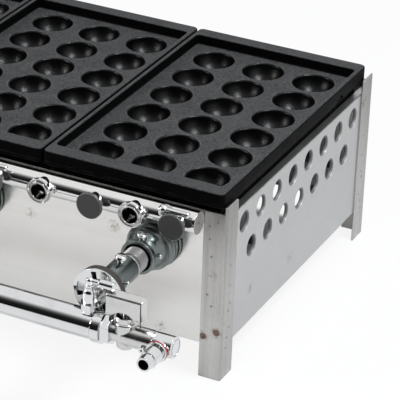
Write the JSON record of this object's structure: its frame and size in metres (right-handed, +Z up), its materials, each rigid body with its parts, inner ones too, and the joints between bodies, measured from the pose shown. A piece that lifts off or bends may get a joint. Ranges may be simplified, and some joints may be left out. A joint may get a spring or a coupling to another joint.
{
  "type": "gas takoyaki griddle",
  "caption": "Countertop gas griddle with lift-out iron plates full of round pockets, in a vented sheet-steel body with a lighting rail, air mixers and a gas manifold in front.",
  "frame": {"origin": "under the middle of the bounding box, on the surface the feet stand on", "axes": "+X to the right along the row of plates, +Y to the back, +Z up; the gas taps face -Y"},
  "size_m": [0.5824, 0.5066, 0.1927],
  "materials": {
    "plate_iron": "black seasoned",
    "stainless_sheet": "satin",
    "stainless_tube": "polished",
    "cap_steel": "satin dark grey",
    "burner_iron": "raw",
    "drum_iron": "raw dark",
    "zinc_plate": "zinc plated",
    "valve_nickel": "satin nickel plated",
    "fitting_chrome": "chrome plated"
  },
  "bodies": {
    "stove_base": {"air_drum_left": "drum_iron", "air_drum_middle": "drum_iron", "air_drum_right": "drum_iron", "back_panel": "stainless_sheet", "burner_bars": "stainless_sheet", "burner_left": "burner_iron", "burner_middle": "burner_iron", "burner_right": "burner_iron", "feed_escutcheons": "zinc_plate", "feed_lock_nuts": "zinc_plate", "feed_pipes": "zinc_plate", "front_panel": "stainless_sheet", "gas_cock_left": "fitting_chrome", "gas_cock_middle": "fitting_chrome", "gas_cock_right": "fitting_chrome", "hose_end": "fitting_chrome", "injectors": "fitting_chrome", "left_panel": "stainless_sheet", "leg_back_left": "stainless_sheet", "leg_back_right": "stainless_sheet", "leg_front_left": "stainless_sheet", "leg_front_right": "stainless_sheet", "main_valve_body": "valve_nickel", "manifold": "stainless_tube", "manifold_cap": "stainless_tube", "manifold_collar": "stainless_tube", "mixer_bell_left": "zinc_plate", "mixer_bell_middle": "zinc_plate", "mixer_bell_right": "zinc_plate", "mixer_lock_rings": "zinc_plate", "mixer_socket_left": "zinc_plate", "mixer_socket_middle": "zinc_plate", "mixer_socket_right": "zinc_plate", "outlet_elbow": "valve_nickel", "pilot_cocks": "fitting_chrome", "plate_ledge_back": "stainless_sheet", "plate_ledge_front": "stainless_sheet", "port_rail": "stainless_tube", "right_panel": "stainless_sheet", "test_nipple": "valve_nickel", "union_nut": "valve_nickel"},
    "cooking_plate_left": {"cooking_plate_left": "plate_iron"},
    "port_cap_left_1": {"port_cap_left_1": "cap_steel"},
    "port_cap_left_2": {"port_cap_left_2": "cap_steel"},
    "air_shutter_left": {"air_shutter_left": "fitting_chrome"},
    "cock_lever_left": {"cock_lever_left": "fitting_chrome"},
    "pilot_lever_left": {"pilot_lever_left": "fitting_chrome"},
    "cooking_plate_middle": {"cooking_plate_middle": "plate_iron"},
    "port_cap_middle_1": {"port_cap_middle_1": "cap_steel"},
    "port_cap_middle_2": {"port_cap_middle_2": "cap_steel"},
    "air_shutter_middle": {"air_shutter_middle": "fitting_chrome"},
    "cock_lever_middle": {"cock_lever_middle": "fitting_chrome"},
    "pilot_lever_middle": {"pilot_lever_middle": "fitting_chrome"},
    "cooking_plate_right": {"cooking_plate_right": "plate_iron"},
    "port_cap_right_1": {"port_cap_right_1": "cap_steel"},
    "port_cap_right_2": {"port_cap_right_2": "cap_steel"},
    "air_shutter_right": {"air_shutter_right": "fitting_chrome"},
    "cock_lever_right": {"cock_lever_right": "fitting_chrome"},
    "pilot_lever_right": {"pilot_lever_right": "fitting_chrome"},
    "main_valve_handle": {"main_valve_handle": "valve_nickel"}
  },
  "joints": [
    {"name": "plate_left_lift", "type": "slide", "parent": "stove_base", "child": "cooking_plate_left", "axis": [0, 0, 1], "range_m": [0, 0.12]},
    {"name": "cap_left_1_pull", "type": "slide", "parent": "stove_base", "child": "port_cap_left_1", "axis": [0, -1, 0], "range_m": [0, 0.02]},
    {"name": "cap_left_2_pull", "type": "slide", "parent": "stove_base", "child": "port_cap_left_2", "axis": [0, -1, 0], "range_m": [0, 0.02]},
    {"name": "shutter_left_turn", "type": "hinge", "parent": "stove_base", "child": "air_shutter_left", "pos_m": [-0.16725, -0.19875, 0.1305], "axis": [0, -1, 0], "range_deg": [-45, 45]},
    {"name": "cock_left_turn", "type": "hinge", "parent": "stove_base", "child": "cock_lever_left", "pos_m": [-0.16725, -0.21475, 0.145], "axis": [0, 0, 1], "range_deg": [-90, 0]},
    {"name": "pilot_left_turn", "type": "hinge", "parent": "stove_base", "child": "pilot_lever_left", "pos_m": [-0.14975, -0.10829, 0.17516], "axis": [0, -0.7373, 0.6756], "range_deg": [0, 90]},
    {"name": "plate_middle_lift", "type": "slide", "parent": "stove_base", "child": "cooking_plate_middle", "axis": [0, 0, 1], "range_m": [0, 0.12]},
    {"name": "cap_middle_1_pull", "type": "slide", "parent": "stove_base", "child": "port_cap_middle_1", "axis": [0, -1, 0], "range_m": [0, 0.02]},
    {"name": "cap_middle_2_pull", "type": "slide", "parent": "stove_base", "child": "port_cap_middle_2", "axis": [0, -1, 0], "range_m": [0, 0.02]},
    {"name": "shutter_middle_turn", "type": "hinge", "parent": "stove_base", "child": "air_shutter_middle", "pos_m": [0.01975, -0.19875, 0.1305], "axis": [0, -1, 0], "range_deg": [-45, 45]},
    {"name": "cock_middle_turn", "type": "hinge", "parent": "stove_base", "child": "cock_lever_middle", "pos_m": [0.01975, -0.21475, 0.145], "axis": [0, 0, 1], "range_deg": [-90, 0]},
    {"name": "pilot_middle_turn", "type": "hinge", "parent": "stove_base", "child": "pilot_lever_middle", "pos_m": [0.03725, -0.10829, 0.17516], "axis": [0, -0.7373, 0.6756], "range_deg": [0, 90]},
    {"name": "plate_right_lift", "type": "slide", "parent": "stove_base", "child": "cooking_plate_right", "axis": [0, 0, 1], "range_m": [0, 0.12]},
    {"name": "cap_right_1_pull", "type": "slide", "parent": "stove_base", "child": "port_cap_right_1", "axis": [0, -1, 0], "range_m": [0, 0.02]},
    {"name": "cap_right_2_pull", "type": "slide", "parent": "stove_base", "child": "port_cap_right_2", "axis": [0, -1, 0], "range_m": [0, 0.02]},
    {"name": "shutter_right_turn", "type": "hinge", "parent": "stove_base", "child": "air_shutter_right", "pos_m": [0.20675, -0.19875, 0.1305], "axis": [0, -1, 0], "range_deg": [-45, 45]},
    {"name": "cock_right_turn", "type": "hinge", "parent": "stove_base", "child": "cock_lever_right", "pos_m": [0.20675, -0.21475, 0.145], "axis": [0, 0, 1], "range_deg": [-90, 0]},
    {"name": "pilot_right_turn", "type": "hinge", "parent": "stove_base", "child": "pilot_lever_right", "pos_m": [0.22425, -0.10829, 0.17516], "axis": [0, -0.7373, 0.6756], "range_deg": [0, 90]},
    {"name": "main_valve_turn", "type": "hinge", "parent": "stove_base", "child": "main_valve_handle", "pos_m": [0.24275, -0.21475, 0.1212], "axis": [0, 0, 1], "range_deg": [0, 90]}
  ]
}
